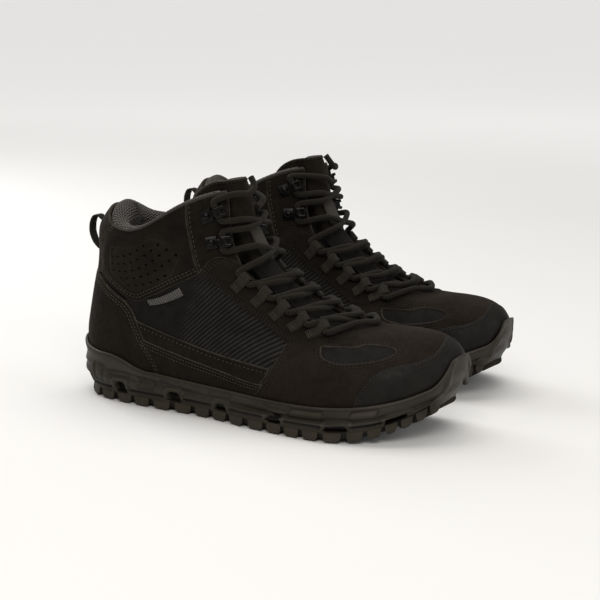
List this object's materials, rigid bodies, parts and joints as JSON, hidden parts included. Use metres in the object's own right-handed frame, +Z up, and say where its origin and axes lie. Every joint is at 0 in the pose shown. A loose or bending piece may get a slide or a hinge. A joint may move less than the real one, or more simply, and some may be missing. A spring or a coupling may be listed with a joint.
{
  "type": "hiking boots",
  "caption": "Pair of black mid-cut hiking boots with lugged soles, mesh and nubuck panels, padded knit collars, hooks and laces.",
  "frame": {"origin": "on the ground, under the middle of the pair's bounding box", "axes": "+X towards the right boot's toe, +Y from the right boot to the left boot, +Z up"},
  "size_m": [0.3156, 0.266, 0.1737],
  "materials": {
    "nubuck": "matte brushed nubuck, black with a slight warm cast",
    "textile": "dense woven mesh with raised ribs",
    "rubberised_toe": "rubber-coated, fine pebble, satin",
    "midsole_foam": "moulded foam, satin dark brown-grey",
    "tread_rubber": "moulded tread rubber, satin",
    "knit": "grey chevron knit over foam",
    "cord": "round braided cord",
    "webbing": "ribbed woven tape",
    "hook_metal": "glossy black paint",
    "board": "pressed fibre board",
    "footbed_foam": "fabric-faced foam"
  },
  "bodies": {
    "right_boot": {"right_outsole": "tread_rubber", "right_midsole": "midsole_foam", "right_insole_board": "board", "right_toe_cap": "rubberised_toe", "right_vamp": "nubuck", "right_vamp_mesh": "textile", "right_eyestay": "nubuck", "right_heel_counter": "nubuck", "right_backstay": "nubuck", "right_quarter_lateral": "textile", "right_quarter_medial": "textile", "right_strap_lateral": "nubuck", "right_strap_medial": "nubuck", "right_collar_lateral": "nubuck", "right_collar_medial": "nubuck", "right_facing_lateral": "nubuck", "right_facing_medial": "nubuck", "right_side_label": "webbing", "right_lining": "knit", "right_lace": "cord", "right_lace_loops_lateral": "webbing", "right_lace_loops_medial": "webbing", "right_hook_lateral_lower": "hook_metal", "right_hook_lateral_upper": "hook_metal", "right_hook_medial_lower": "hook_metal", "right_hook_medial_upper": "hook_metal"},
    "right_tongue_body": {"right_tongue": "nubuck", "right_tongue_keeper": "webbing"},
    "right_pull_loop_body": {"right_pull_loop": "webbing"},
    "right_footbed_body": {"right_footbed": "footbed_foam"},
    "left_boot": {"left_outsole": "tread_rubber", "left_midsole": "midsole_foam", "left_insole_board": "board", "left_toe_cap": "rubberised_toe", "left_vamp": "nubuck", "left_vamp_mesh": "textile", "left_eyestay": "nubuck", "left_heel_counter": "nubuck", "left_backstay": "nubuck", "left_quarter_lateral": "textile", "left_quarter_medial": "textile", "left_strap_lateral": "nubuck", "left_strap_medial": "nubuck", "left_collar_lateral": "nubuck", "left_collar_medial": "nubuck", "left_facing_lateral": "nubuck", "left_facing_medial": "nubuck", "left_side_label": "webbing", "left_lining": "knit", "left_lace": "cord", "left_lace_loops_lateral": "webbing", "left_lace_loops_medial": "webbing", "left_hook_lateral_lower": "hook_metal", "left_hook_lateral_upper": "hook_metal", "left_hook_medial_lower": "hook_metal", "left_hook_medial_upper": "hook_metal"},
    "left_tongue_body": {"left_tongue": "nubuck", "left_tongue_keeper": "webbing"},
    "left_pull_loop_body": {"left_pull_loop": "webbing"},
    "left_footbed_body": {"left_footbed": "footbed_foam"}
  },
  "joints": [
    {"name": "left_boot_lift", "type": "slide", "parent": "right_boot", "child": "left_boot", "axis": [0, 0, 1], "range_m": [0, 0.2]},
    {"name": "right_tongue_swing", "type": "hinge", "parent": "right_boot", "child": "right_tongue_body", "pos_m": [0.08227, -0.06945, 0.0666], "axis": [0, -1, 0], "range_deg": [0, 8]},
    {"name": "right_pull_loop_fold", "type": "hinge", "parent": "right_boot", "child": "right_pull_loop_body", "pos_m": [-0.13284, -0.07453, 0.12025], "axis": [0, 0, 1], "range_deg": [-20, 20]},
    {"name": "right_footbed_lift", "type": "hinge", "parent": "right_boot", "child": "right_footbed_body", "pos_m": [0.12232, -0.06953, 0.02928], "axis": [0, 1, 0], "range_deg": [0, 5]},
    {"name": "left_tongue_swing", "type": "hinge", "parent": "left_boot", "child": "left_tongue_body", "pos_m": [0.06902, 0.06879, 0.0666], "axis": [-0.0816, -0.9967, 0], "range_deg": [0, 8]},
    {"name": "left_pull_loop_fold", "type": "hinge", "parent": "left_boot", "child": "left_pull_loop_body", "pos_m": [-0.14496, 0.09141, 0.12025], "axis": [0, 0, 1], "range_deg": [-20, 20]},
    {"name": "left_footbed_lift", "type": "hinge", "parent": "left_boot", "child": "left_footbed_body", "pos_m": [0.10894, 0.06561, 0.02928], "axis": [0.0816, 0.9967, 0], "range_deg": [0, 5]}
  ]
}
